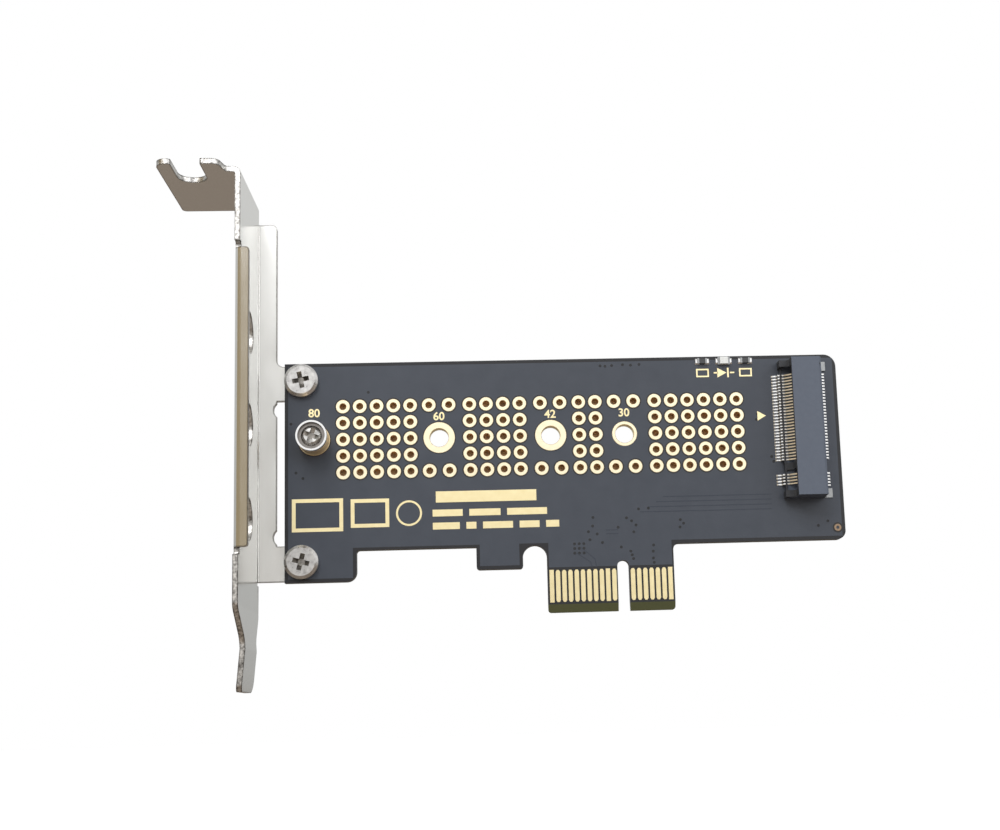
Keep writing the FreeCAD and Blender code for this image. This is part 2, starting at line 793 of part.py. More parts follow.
def upper_contacts():
    """Contacts over the drive, soldered behind the socket."""
    half = pin_thickness / 2
    run = socket_floor_top + half
    bend = socket_back + upper_tail_reach
    stem = socket_back - socket_back_wall - half
    under_roof = socket_height - socket_roof_thickness - half
    path = [
        (socket_back + upper_tail_length, half),
        (bend + pin_tail_rise, half),
        (bend, run),
        (stem, run),
        (stem, under_roof),
        (upper_tip, under_roof),
    ]
    return pins(path, pin_first_upper, pin_counts_upper)


def hold_down(side):
    """Soldered metal angle behind one end of the socket."""
    outer = side * socket_half_length
    inner = side * (socket_half_length - hold_down_width)
    z_range = (min(inner, outer), max(inner, outer))
    pieces = [
        socket_block((socket_back, socket_back + hold_down_foot), (0, hold_down_thickness), z_range),
        socket_block((socket_back, socket_back + hold_down_thickness), (0, hold_down_height), z_range),
    ]
    return fuse_all(pieces)


# ---------------------------------------------------------------- small parts
def chip(size, cap, x, z, side, upright=False):
    """Small soldered block with a slightly larger metal cap on each end."""
    length, width, height = size
    step = 0.03
    half = length / 2

    def block(start, end, growth):
        across = width / 2 + growth
        rise = (0, height + growth)
        y_range = (-rise[1], 0) if side < 0 else (board_thickness, board_thickness + rise[1])
        along = (start, end)
        if upright:
            return box((x - across, x + across), y_range, (z + along[0], z + along[1]))
        return box((x + along[0], x + along[1]), y_range, (z - across, z + across))

    body = block(-half + cap, half - cap, 0)
    return fuse_all([block(-half, -half + cap, step), body, block(half - cap, half, step)])


def status_lamp_base():
    """Carrier of the surface-mounted lamp."""
    return chip(led_size, led_cap, lamp_position, board_top - chip_level, -1)


def status_lamp_lens():
    """Clear block on the lamp's carrier."""
    length, width, height = led_lens_size
    z = board_top - chip_level
    base = led_size[2]
    return box((lamp_position - length / 2, lamp_position + length / 2), (-base - height, -base),
               (z - width / 2, z + width / 2))


def converter():
    """Voltage converter behind the tongue, a flat moulded package with a bevelled top."""
    length, width, height = converter_size
    x, z = converter_place
    body = box((x - length / 2, x + length / 2), (board_thickness, board_thickness + height),
               (z - width / 2, z + width / 2))
    top = [edge for edge in body.Edges if edge.BoundBox.YMin > board_thickness + height / 2]
    return body.makeChamfer(0.12 * height, top)


def inductor():
    """Moulded power inductor with a flat terminal at each end."""
    length, width, height = inductor_size
    x, z = inductor_place
    lift = 0.15
    body = box((x - length / 2, x + length / 2), (board_thickness + lift, board_thickness + height),
               (z - width / 2, z + width / 2))
    upright = [edge for edge in body.Edges if edge.BoundBox.YLength > 0.5 * height]
    body = body.makeChamfer(0.15 * width, upright)
    terminals = []
    for side in (-1, 1):
        outer = x + side * length / 2
        inner = outer - side * inductor_terminal
        terminals.append(box((min(inner, outer), max(inner, outer)), (board_thickness, board_thickness + lift),
                             (z - width / 4, z + width / 4)))
    return fuse_all([body] + terminals)


def chip_group(size, cap, places, upright=False):
    """Like chips on the rear of the board."""
    return Part.makeCompound([chip(size, cap, x, z, 1, upright) for x, z in places])


# ---------------------------------------------------------------- export
def build_parts():
    """Every piece under the name of its node."""
    top_row = board_top - chip_level
    rear = board_thickness
    return {
        "circuit_board": circuit_board(),
        "edge_contacts_front": edge_contacts(-plating_thickness, 0),
        "edge_contacts_rear": edge_contacts(rear, rear + plating_thickness),
        "bracket": bracket(),
        "bracket_screws": bracket_screws(),
        "m2_standoff": standoff(),
        "m2_retaining_screw": retaining_screw(),
        "standoff_nut": rear_nut(),
        "m2_socket_housing": socket_housing(),
        "m2_lower_contacts": lower_contacts(),
        "m2_upper_contacts": upper_contacts(),
        "m2_hold_down_upper": hold_down(1),
        "m2_hold_down_lower": hold_down(-1),
        "lamp_resistor": chip(resistor_size, resistor_cap, lamp_resistor_position, top_row, -1),
        "sense_resistor": chip(resistor_size, resistor_cap, sense_resistor_position, top_row, -1),
        "status_lamp_base": status_lamp_base(),
        "status_lamp_lens": status_lamp_lens(),
        "power_converter": converter(),
        "power_inductor": inductor(),
        "feedback_resistors": chip_group(rear_resistor_size, rear_resistor_cap, rear_resistor_places, True),
        "small_capacitors": chip_group(small_capacitor_size, small_capacitor_cap, small_capacitor_places, True),
        "bulk_capacitors": chip_group(bulk_capacitor_size, bulk_capacitor_cap, bulk_capacitor_places),
    }


def main():
    os.makedirs("parts", exist_ok=True)
    for name, shape in build_parts().items():
        shape.exportStep("parts/" + name + ".step")
        print(name, "valid" if shape.isValid() else "INVALID", len(shape.Solids), round(shape.Volume, 3))


main()
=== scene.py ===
"""Looks of the M.2 adapter card: finishes for its CAD pieces, plating, print, vias, traces and solder.

Lengths are in millimetres in the row frame until MM turns them into metres.
"""

import bmesh
import bpy
import math
from mathutils import Matrix, Vector


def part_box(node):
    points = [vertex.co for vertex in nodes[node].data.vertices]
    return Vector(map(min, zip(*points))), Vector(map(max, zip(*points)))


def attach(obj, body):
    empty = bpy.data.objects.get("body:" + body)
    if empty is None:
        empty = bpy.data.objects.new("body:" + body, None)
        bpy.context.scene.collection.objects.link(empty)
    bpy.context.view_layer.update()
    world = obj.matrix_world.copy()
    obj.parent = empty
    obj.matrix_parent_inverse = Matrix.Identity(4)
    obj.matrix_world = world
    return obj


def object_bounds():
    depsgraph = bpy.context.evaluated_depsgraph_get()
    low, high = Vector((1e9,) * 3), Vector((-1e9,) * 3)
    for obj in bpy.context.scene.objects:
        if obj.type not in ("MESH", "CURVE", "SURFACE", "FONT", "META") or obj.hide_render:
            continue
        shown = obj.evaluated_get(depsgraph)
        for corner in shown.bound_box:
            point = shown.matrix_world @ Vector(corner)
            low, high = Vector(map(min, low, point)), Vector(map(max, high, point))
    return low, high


MM = 0.001
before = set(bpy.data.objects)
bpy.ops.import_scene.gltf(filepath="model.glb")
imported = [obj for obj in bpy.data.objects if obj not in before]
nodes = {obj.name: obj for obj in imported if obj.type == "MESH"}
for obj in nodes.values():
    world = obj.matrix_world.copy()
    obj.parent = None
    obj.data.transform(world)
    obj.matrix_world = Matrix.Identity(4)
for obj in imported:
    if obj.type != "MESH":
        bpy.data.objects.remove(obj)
cad_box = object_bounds()


def low(node):
    """Lowest corner of a CAD node in millimetres."""
    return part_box(node)[0] / MM


def high(node):
    """Highest corner of a CAD node in millimetres."""
    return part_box(node)[1] / MM


def middle(node):
    """Centre of a CAD node's box in millimetres."""
    return (low(node) + high(node)) / 2


# ---------------------------------------------------------------- places on the board
BOARD_LOW = low("circuit_board")
BOARD_HIGH = high("circuit_board")
BOARD_LEFT, BOARD_RIGHT = BOARD_LOW.x, BOARD_HIGH.x
BOARD_TOP = BOARD_HIGH.z
BOARD_BACK = BOARD_HIGH.y
DRIVE_LEVEL = middle("m2_standoff").z
FITTED_POST = middle("m2_standoff").x
STOP_LINE = FITTED_POST + 80.0
FREE_POSTS = (STOP_LINE - 60.0, STOP_LINE - 42.0, STOP_LINE - 30.0)
SHOULDER_LEVEL = 10.6
FOOT_RIGHT = BOARD_LEFT + 11.3
FOOT_LEVEL = 5.8
LUG_LEFT = -23.4
LUG_RIGHT = -16.0
LUG_LEVEL = 7.15
TONGUE_LEFT = -12.15
TONGUE_RIGHT = 8.15
CONTACT_TOP = high("edge_contacts_front").z
BEVEL_HEIGHT = 1.3

# how far copper stays back from edges and contacts, and how far each layer stands above the face
COPPER_MARGIN = 0.55
TONGUE_MARGIN = 0.25
CONTACT_MARGIN = 0.4
PLATING_RISE = 0.04
GAP_RISE = 0.016
PRINT_RISE = 0.03
TRACE_RISE = 0.012

# widths of print and traces; a digit is DIGIT_SHARE of its font size and is made bolder by DIGIT_WEIGHT
PRINT_STROKE = 0.6
TRACE_WIDTH = 0.16
DIGIT_SHARE = 0.7
DIGIT_HEIGHT = 1.3
DIGIT_WEIGHT = 0.03

# room for rounding: between places, inside a chip, and, in metres, between corners that are joined
TOUCH = 0.01
CHIP_SLACK = 0.001
JOIN_DISTANCE = 1e-8

# air holes: rows about the drive's middle line, in fields between the posts
VENT_PITCH = 2.7
VENT_ROWS = (-2, -1, 0, 1, 2)
VENT_POST_CLEARANCE = 4.5
VENT_POST_SPACING = 1.6
VENT_FIELD_END = 6.4

# plated holes: radii of hole and ring, the gap in the mask round them, and how many flats each is drawn with
RING_EDGE = 0.03
RING_DEPTH = 0.1
VENT_HOLE = 0.53
VENT_RING = 1.13
VENT_GAP = 0.2
VENT_SEGMENTS = 28
POST_HOLE = 1.52
POST_RING = 2.55
NARROW_POST_RING = 2.05
POST_GAP = 0.13
POST_SEGMENTS = 64
CORNER_HOLE = 0.25
CORNER_RING = 0.6
CORNER_GAP = 0.25
CORNER_SEGMENTS = 32
VIA_RADIUS = 0.14
VIA_PITCH = 0.75
VIA_SEGMENTS = 14
# thickness of the painted-shade discs in the vent holes and their inset from the rear face
SHADE_DISC_THICKNESS = 0.04
SHADE_DISC_INSET = 0.12

# bracket: faces of its plate, the narrow lip's ends and the room a bend takes
SHEET = 0.86
BRACKET_WIDTH = 18.42
BRACKET_INNER = BOARD_LEFT - 4.45
BRACKET_OUTER = BRACKET_INNER - SHEET
BRACKET_NEAR = BOARD_BACK + SHEET - BRACKET_WIDTH
BRACKET_LEDGE = high("bracket").z - SHEET
LIP_BOTTOM = 9.8
LIP_TOP = BRACKET_LEDGE - 12.05
BEND = 1.1

# bracket screws and the cupped screw that holds the drive
SCREW_FACE = low("bracket_screws").y
SCREW_LINE = middle("bracket_screws").x
SCREW_HEAD = 2.7
SCREW_LEVELS = (low("bracket_screws").z + SCREW_HEAD, high("bracket_screws").z - SCREW_HEAD)
SCREW_RECESS = 1.45
SCREW_TOP_SKIN = 0.05
CUP_RIM = low("m2_retaining_screw").y
CUP_RADIUS = 2.15
CUP_DEPTH = 0.55
DOME_RADIUS = 1.65

# drive socket and its two rows of contacts
SOCKET_FRONT = low("m2_socket_housing").x
SOCKET_ROOF = SOCKET_FRONT + 1.5
TAIL_LENGTH = 0.3
FRONT_TAILS = low("m2_lower_contacts").x
REAR_TAILS = high("m2_upper_contacts").x
PIN_PITCH = 0.5
PIN_SOLDER_INSET = 0.25
PIN_FIRST_UPPER = 9.25
PIN_FIRST_LOWER = 9.0
PIN_COUNTS_UPPER = (29, 5)
PIN_COUNTS_LOWER = (29, 4)
PINS_MISSING = 4


# ---------------------------------------------------------------- node helpers
def new_group(name, inputs, outputs):
    """Shader node group with its input and output nodes."""
    group = bpy.data.node_groups.new(name, "ShaderNodeTree")
    for label, kind, value in inputs:
        socket = group.interface.new_socket(name=label, in_out="INPUT", socket_type=kind)
        socket.default_value = value
    for label, kind in outputs:
        group.interface.new_socket(name=label, in_out="OUTPUT", socket_type=kind)
    return group, group.nodes.new("NodeGroupInput"), group.nodes.new("NodeGroupOutput")


def math_node(tree, operation, first, second=0.0):
    """Math node whose operands are sockets or numbers; returns its result."""
    node = tree.nodes.new("ShaderNodeMath")
    node.operation = operation
    for socket, value in zip(node.inputs, (first, second)):
        if isinstance(value, (int, float)):
            socket.default_value = value
        else:
            tree.links.new(value, socket)
    return node.outputs[0]


def mix_colour(tree, factor, first, second):
    """Blend of two colours, given as sockets or RGB triples."""
    node = tree.nodes.new("ShaderNodeMix")
    node.data_type = "RGBA"
    for socket, value in ((node.inputs[0], factor), (node.inputs[6], first), (node.inputs[7], second)):
        if isinstance(value, tuple):
            socket.default_value = (*value, 1.0)
        elif isinstance(value, float):
            socket.default_value = value
        else:
            tree.links.new(value, socket)
    return node.outputs[2]


def object_axes(tree, output="Object"):
    """X, Y and Z sockets of the object coordinates or of the object normal."""
    coordinates = tree.nodes.new("ShaderNodeTexCoord")
    split = tree.nodes.new("ShaderNodeSeparateXYZ")
    tree.links.new(coordinates.outputs[output], split.inputs[0])
    return split.outputs


def grain_group():
    """Noise over object coordinates, stretched along each axis, as a tone, a gloss and a relief."""
    group, entry, leave = new_group(
        "grain",
        [("Stretch", "NodeSocketVector", (1.0, 1.0, 1.0)), ("Scale", "NodeSocketFloat", 800.0),
         ("Depth", "NodeSocketFloat", 0.00001), ("Contrast", "NodeSocketFloat", 1.0),
         ("Roughness", "NodeSocketFloat", 0.4), ("Spread", "NodeSocketFloat", 0.15)],
        [("Tone", "NodeSocketFloat"), ("Roughness", "NodeSocketFloat"), ("Normal", "NodeSocketVector")])
    coordinates = group.nodes.new("ShaderNodeTexCoord")
    stretched = group.nodes.new("ShaderNodeVectorMath")
    stretched.operation = "MULTIPLY"
    noise = group.nodes.new("ShaderNodeTexNoise")
    noise.inputs["Detail"].default_value = 3.0
    bump = group.nodes.new("ShaderNodeBump")
    bump.inputs["Strength"].default_value = 0.6
    group.links.new(coordinates.outputs["Object"], stretched.inputs[0])
    group.links.new(entry.outputs["Stretch"], stretched.inputs[1])
    group.links.new(stretched.outputs[0], noise.inputs["Vector"])
    group.links.new(entry.outputs["Scale"], noise.inputs["Scale"])
    group.links.new(noise.outputs[0], bump.inputs["Height"])
    group.links.new(entry.outputs["Depth"], bump.inputs["Distance"])
    group.links.new(bump.outputs[0], leave.inputs["Normal"])
    swing = math_node(group, "SUBTRACT", noise.outputs[0], 0.5)
    tone = math_node(group, "MULTIPLY", swing, entry.outputs["Contrast"])
    group.links.new(math_node(group, "ADD", tone, 0.5), leave.inputs["Tone"])
    gloss = math_node(group, "MULTIPLY", swing, entry.outputs["Spread"])
    group.links.new(math_node(group, "ADD", gloss, entry.outputs["Roughness"]), leave.inputs["Roughness"])
    return group


def edge_shade_group():
    """Mask of painted edge shade: 1 along the edges of a piece and 0 elsewhere."""
    group, entry, leave = new_group(
        "painted_edge_shade", [("Radius", "NodeSocketFloat", 0.0001)], [("Edge", "NodeSocketFloat")])
    bevel = group.nodes.new("ShaderNodeBevel")
    bevel.samples = 4
    geometry = group.nodes.new("ShaderNodeNewGeometry")
    agreement = group.nodes.new("ShaderNodeVectorMath")
    agreement.operation = "DOT_PRODUCT"
    group.links.new(entry.outputs["Radius"], bevel.inputs["Radius"])
    group.links.new(bevel.outputs[0], agreement.inputs[0])
    group.links.new(geometry.outputs["True Normal"], agreement.inputs[1])
    line = group.nodes.new("ShaderNodeMapRange")
    line.inputs["From Min"].default_value = 0.9985
    line.inputs["From Max"].default_value = 0.965
    group.links.new(agreement.outputs["Value"], line.inputs["Value"])
    group.links.new(line.outputs["Result"], leave.inputs["Edge"])
    return group


def thread_group():
    """Height of a thread's ridges behind a given depth."""
    group, entry, leave = new_group(
        "thread",
        [("Front", "NodeSocketFloat", 0.0), ("Half Pitch", "NodeSocketFloat", 0.00025)],
        [("Height", "NodeSocketFloat")])
    _, depth, _ = object_axes(group)
    ridges = math_node(group, "PINGPONG", depth, entry.outputs["Half Pitch"])
    behind = math_node(group, "GREATER_THAN", depth, entry.outputs["Front"])
    group.links.new(math_node(group, "MULTIPLY", ridges, behind), leave.inputs["Height"])
    return group


def box_mask_group():
    """1 inside an upright rectangle of the board, 0 outside, from object coordinates in metres."""
    names = ("Left", "Right", "Bottom", "Top")
    group, entry, leave = new_group(
        "rectangle_mask", [(name, "NodeSocketFloat", 0.0) for name in names], [("Inside", "NodeSocketFloat")])
    x, _, z = object_axes(group)
    right_of = math_node(group, "GREATER_THAN", x, entry.outputs["Left"])
    left_of = math_node(group, "LESS_THAN", x, entry.outputs["Right"])
    above = math_node(group, "GREATER_THAN", z, entry.outputs["Bottom"])
    below = math_node(group, "LESS_THAN", z, entry.outputs["Top"])
    across = math_node(group, "MULTIPLY", right_of, left_of)
    upright = math_node(group, "MULTIPLY", above, below)
    group.links.new(math_node(group, "MULTIPLY", across, upright), leave.inputs["Inside"])
    return group


GRAIN = grain_group()
EDGE_SHADE = edge_shade_group()
THREAD = thread_group()
RECTANGLE = box_mask_group()


def group_node(tree, group, **values):
    """One use of a shared node group with its own input values."""
    node = tree.nodes.new("ShaderNodeGroup")
    node.node_tree = group
    for label, value in values.items():
        node.inputs[label].default_value = value
    return node


def rectangle(tree, left, right, bottom, top):
    """Mask of a rectangle given in millimetres."""
    sides = {"Left": left * MM, "Right": right * MM, "Bottom": bottom * MM, "Top": top * MM}
    return group_node(tree, RECTANGLE, **sides).outputs["Inside"]


def start_material(name):
    """Empty node material with its shader."""
    material = bpy.data.materials.new(name)
    material.use_nodes = True
    return material, material.node_tree, material.node_tree.nodes["Principled BSDF"]


def add_grain(tree, shader, scale, stretch, depth, roughness, spread, contrast=1.0):
    """Fine relief and uneven gloss; returns the grain's tone."""
    grain = group_node(tree, GRAIN, Scale=scale, Stretch=stretch, Depth=depth, Contrast=contrast,
                       Roughness=roughness, Spread=spread)
    tree.links.new(grain.outputs["Roughness"], shader.inputs["Roughness"])
    tree.links.new(grain.outputs["Normal"], shader.inputs["Normal"])
    return grain.outputs["Tone"]


def plain_material(name, colour, shade, roughness, metallic=0.0, scale=900.0, stretch=(1, 1, 1), depth=4e-6,
                   spread=0.15, contrast=1.0, edge=None, edge_shade_width=0.1):
    """Material whose colour wanders between two tones, with painted shade as a line of another colour along
    its edges.
    """
    material, tree, shader = start_material(name)
    shader.inputs["Metallic"].default_value = metallic
    tone = add_grain(tree, shader, scale, stretch, depth, roughness, spread, contrast)
    paint = mix_colour(tree, tone, colour, shade)
    # The edge colour is painted shade: a darker line along the piece's edges.
    if edge is not None:
        line = group_node(tree, EDGE_SHADE, Radius=edge_shade_width * MM)
        paint = mix_colour(tree, line.outputs["Edge"], paint, edge)
    tree.links.new(paint, shader.inputs["Base Color"])
    return material


# ---------------------------------------------------------------- materials
def solder_mask():
    """Slate mask over copper, darker where no copper lies under it, with bare cut edges."""
    material, tree, shader = start_material("slate_solder_mask")
    shader.inputs["Specular IOR Level"].default_value = 0.4
    tone = add_grain(tree, shader, 350.0, (1, 1, 1), 6e-6, 0.42, 0.12)
    gap = COPPER_MARGIN
    shoulder = SHOULDER_LEVEL + gap
    foot = (BOARD_LEFT + gap, FOOT_RIGHT - gap, FOOT_LEVEL + gap, shoulder + gap)
    lug = (LUG_LEFT + gap, LUG_RIGHT - gap, LUG_LEVEL + gap, shoulder + gap)
    tongue = (TONGUE_LEFT + TONGUE_MARGIN, TONGUE_RIGHT - TONGUE_MARGIN, CONTACT_TOP + CONTACT_MARGIN,
              shoulder + gap)
    copper = rectangle(tree, BOARD_LEFT + gap, BOARD_RIGHT - gap, shoulder, BOARD_TOP - gap)
    for region in (foot, lug, tongue):
        copper = math_node(tree, "MAXIMUM", copper, rectangle(tree, *region))
    slate = mix_colour(tree, tone, (0.036, 0.044, 0.060), (0.050, 0.059, 0.077))
    face = mix_colour(tree, copper, (0.012, 0.013, 0.016), slate)
    _, normal_y, _ = object_axes(tree, "Normal")
    edge = math_node(tree, "LESS_THAN", math_node(tree, "ABSOLUTE", normal_y), 0.97)
    _, _, z = object_axes(tree)
    bevel = math_node(tree, "LESS_THAN", z, BEVEL_HEIGHT * MM)
    cut = mix_colour(tree, bevel, (0.022, 0.024, 0.024), (0.075, 0.082, 0.036))
    tree.links.new(mix_colour(tree, edge, face, cut), shader.inputs["Base Color"])
    return material


def sheet_steel(name, roughness):
    """Bright plated sheet with painted shade as a dark line along its edges."""
    return plain_material(name, (0.76, 0.76, 0.74), (0.81, 0.81, 0.79), roughness, metallic=1.0, scale=700.0,
                          stretch=(1.0, 1.0, 0.3), depth=2e-7, spread=0.04, edge=(0.08, 0.07, 0.06),
                          edge_shade_width=0.3)


def leaned(material, tilt):
    """The same material with its reflections leaned to the left of the card."""
    tree = material.node_tree
    shader = tree.nodes["Principled BSDF"]
    lean = tree.nodes.new("ShaderNodeVectorMath")
    lean.operation = "ADD"
    lean.inputs[1].default_value = (-tilt, 0.0, 0.0)
    straight = tree.nodes.new("ShaderNodeVectorMath")
    straight.operation = "NORMALIZE"
    tree.links.new(shader.inputs["Normal"].links[0].from_socket, lean.inputs[0])
    tree.links.new(lean.outputs[0], straight.inputs[0])
    tree.links.new(straight.outputs[0], shader.inputs["Normal"])
    return material


def threaded(name, colour, shade, roughness, metallic=1.0):
    """Turned metal with a thread's ridges on whatever lies behind the board."""
    material = plain_material(name, colour, shade, roughness, metallic, scale=1400.0, depth=3e-6, spread=0.2)
    tree = material.node_tree
    shader = tree.nodes["Principled BSDF"]
    ridges = group_node(tree, THREAD, Front=BOARD_BACK * MM)
    thread = tree.nodes.new("ShaderNodeBump")
    thread.inputs["Distance"].default_value = 1.0
    tree.links.new(ridges.outputs["Height"], thread.inputs["Height"])
    tree.links.new(shader.inputs["Normal"].links[0].from_socket, thread.inputs["Normal"])
    tree.links.new(thread.outputs[0], shader.inputs["Normal"])
    return material


def lamp_resin():
    """Cloudy resin over the lamp."""
    material = plain_material("lamp_resin", (0.74, 0.77, 0.77), (0.56, 0.58, 0.57), 0.3, scale=2500.0)
    material.node_tree.nodes["Principled BSDF"].inputs["Coat Weight"].default_value = 0.5
    return material


MASK = solder_mask()
BARE = plain_material("bare_laminate", (0.010, 0.011, 0.012), (0.018, 0.018, 0.018), 0.55)
GOLD = plain_material("gold_plating", (0.94, 0.79, 0.43), (1.0, 0.89, 0.56), 0.32, metallic=1.0, scale=1200.0)
# The ring plating carries painted shade: a brown line along the edges of each ring.
RING_GOLD = plain_material("ring_plating", (0.97, 0.85, 0.58), (1.0, 0.92, 0.70), 0.34, metallic=1.0,
                           scale=1200.0, edge=(0.42, 0.28, 0.10), edge_shade_width=0.09)
# Dark brown for the walls inside the vent holes: painted shade.
BARREL_SHADE = plain_material("barrel_wall_painted_shade", (0.62, 0.42, 0.22), (0.80, 0.58, 0.34), 0.4, metallic=0.7)
# Brown for the discs that close the vent holes: painted shade seen down the holes.
HOLE_SHADE = plain_material("vent_hole_painted_shade", (0.36, 0.26, 0.16), (0.56, 0.44, 0.29), 0.5)
STEEL = sheet_steel("bracket_nickel", 0.18)
LIP_STEEL = leaned(sheet_steel("bracket_nickel_lip", 0.18), 0.135)
FLANGE_STEEL = sheet_steel("bracket_nickel_flange", 0.46)
# Cut edges of the bracket: painted shade and painted glints, a speckle from near black to near white with a
# dark line along the edges.
CUT_STEEL = plain_material("bracket_cut_edge", (0.14, 0.13, 0.12), (0.93, 0.92, 0.89), 0.32, metallic=1.0,
                           scale=2400.0, depth=1e-5, spread=0.2, contrast=2.0, edge=(0.03, 0.028, 0.025),
                           edge_shade_width=0.34)
SCREW = threaded("screw_nickel", (0.30, 0.29, 0.28), (0.84, 0.83, 0.81), 0.30)
# Painted shade for the cross recesses of the screw heads: dark grey in blotches.
RECESS_SHADE = plain_material("screw_recess_painted_shade", (0.14, 0.13, 0.12), (0.44, 0.42, 0.39), 0.4, metallic=1.0,
                        scale=2000.0, contrast=2.0)
CHROME = plain_material("retaining_nickel", (0.88, 0.88, 0.87), (0.96, 0.96, 0.95), 0.18, metallic=1.0)
# The dome's tone swings in blotches from dark grey to near white: painted reflections on the chrome.
DOME_REFLECTIONS = plain_material("retaining_dome_painted_reflections", (0.30, 0.29, 0.27), (0.98, 0.98, 0.96), 0.28, metallic=1.0,
                      scale=1000.0, depth=3e-5, contrast=2.5)
GROOVE = plain_material("groove_shadow", (0.17, 0.16, 0.15), (0.36, 0.34, 0.32), 0.35, metallic=1.0)
BRASS = threaded("standoff_brass", (0.72, 0.55, 0.33), (0.88, 0.71, 0.46), 0.45, metallic=0.6)
HOUSING = plain_material("socket_plastic", (0.064, 0.080, 0.114), (0.082, 0.101, 0.138), 0.48, scale=1500.0)
SOCKET_DEEP = plain_material("socket_plastic_shadow", (0.020, 0.022, 0.027), (0.030, 0.033, 0.040), 0.6,
                             scale=1500.0)
ALLOY = plain_material("contact_alloy", (0.84, 0.77, 0.64), (0.95, 0.90, 0.79), 0.40, metallic=1.0)
TIN = plain_material("tinned_metal", (0.80, 0.80, 0.79), (0.92, 0.92, 0.91), 0.3, metallic=1.0, scale=1800.0)
DULL_TIN = plain_material("dull_tin", (0.22, 0.23, 0.235), (0.38, 0.39, 0.395), 0.42, metallic=1.0,
                          scale=1800.0)
GLAZE = plain_material("black_glaze", (0.030, 0.033, 0.036), (0.046, 0.050, 0.054), 0.4)
CERAMIC = plain_material("tan_ceramic", (0.36, 0.27, 0.18), (0.45, 0.35, 0.24), 0.4)
PACKAGE = plain_material("black_package", (0.018, 0.018, 0.019), (0.03, 0.03, 0.031), 0.55, scale=2500.0)
CARRIER = plain_material("lamp_carrier", (0.46, 0.48, 0.47), (0.58, 0.60, 0.58), 0.4)
RESIN = lamp_resin()
TRACE = plain_material("masked_trace", (0.018, 0.025, 0.041), (0.024, 0.032, 0.049), 0.40)
WORN_GOLD = plain_material("worn_gold", (0.20, 0.13, 0.09), (0.40, 0.30, 0.20), 0.5, metallic=0.7,
                           scale=3500.0)
VIA = plain_material("masked_via", (0.004, 0.005, 0.007), (0.008, 0.010, 0.013), 0.6)


def dress(node, *materials):
    """Gives a CAD node its finishes, the first one to all of its faces."""
    mesh = nodes[node].data
    mesh.materials.clear()
    for material in materials:
        mesh.materials.append(material)
    for polygon in mesh.polygons:
        polygon.material_index = 0


def dress_chips(node, body, end, axis, cap):
    """Finish for chips whose end caps are as long as cap, in millimetres, along an axis."""
    dress(node, body, end)
    mesh = nodes[node].data
    for island in mesh_islands(mesh):
        spans = [[mesh.vertices[index].co[axis] / MM for index in polygon.vertices] for polygon in island]
        first = min(min(span) for span in spans) + cap - CHIP_SLACK
        last = max(max(span) for span in spans) - cap + CHIP_SLACK
        for polygon, span in zip(island, spans):
            between = first <= min(span) and max(span) <= last
            flat = abs(polygon.normal[axis]) > 0.9
            polygon.material_index = 0 if between and not flat else 1


def mesh_islands(mesh):
    """Lists of polygons that share corner positions."""
    keys = {}
    parent = {}

    def root(key):
        while parent[key] != key:
            key = parent[key]
        return key

    for vertex in mesh.vertices:
        key = tuple(round(value * 1e7) for value in vertex.co)
        keys[vertex.index] = key
        parent.setdefault(key, key)
    for polygon in mesh.polygons:
        first = root(keys[polygon.vertices[0]])
        for index in polygon.vertices[1:]:
            parent[root(keys[index])] = first
    islands = {}
    for polygon in mesh.polygons:
        islands.setdefault(root(keys[polygon.vertices[0]]), []).append(polygon)
    return list(islands.values())


FINISHES = {
    "circuit_board": MASK,
    "edge_contacts_front": GOLD,
    "edge_contacts_rear": GOLD,
    "m2_standoff": BRASS,
    "standoff_nut": BRASS,
    "m2_hold_down_upper": DULL_TIN,
    "m2_hold_down_lower": DULL_TIN,
    "status_lamp_lens": RESIN,
    "power_converter": PACKAGE,
    "power_inductor": PACKAGE,
}
for node_name, finish in FINISHES.items():
    dress(node_name, finish)


def dress_by_rule(node, finishes, rule):
    """Gives each face the finish whose number the rule picks from its centre, in millimetres, and normal."""
    dress(node, *finishes)
    for polygon in nodes[node].data.polygons:
        polygon.material_index = rule(polygon.center / MM, polygon.normal)


def bracket_finish(centre, normal):
    """0 for the sheet's faces, 1 for its cut edges, 2 for the narrow lip's face, 3 for the flange."""
    beside_lip = LIP_BOTTOM - TOUCH < centre.z < LIP_TOP + TOUCH and centre.y < BRACKET_NEAR + BEND
    if beside_lip and centre.x > BRACKET_OUTER:
        cut = 1 if normal.x > 0.5 or abs(normal.z) > 0.5 else 0
        return 2 if normal.y < -0.5 else cut
    if centre.z > BRACKET_LEDGE:
        return 1 if abs(normal.z) < 0.1 and centre.x < BRACKET_OUTER - BEND else 0
    if centre.y > BOARD_BACK - TOUCH and centre.x > BRACKET_INNER - TOUCH:
        return 3 if abs(normal.y) > 0.5 else 1
    return 1 if abs(normal.x) < 0.3 and centre.x < BRACKET_INNER + BEND else 0


def screw_finish(centre, _):
    """1 for the faces of a bracket screw's cross recess, between its flat top and the board; they get painted
    shade.
    """
    level = min(SCREW_LEVELS, key=lambda z: abs(z - centre.z))
    reach = math.dist((centre.x, centre.z), (SCREW_LINE, level))
    return 1 if reach < SCREW_RECESS and SCREW_FACE + SCREW_TOP_SKIN < centre.y < -0.1 else 0


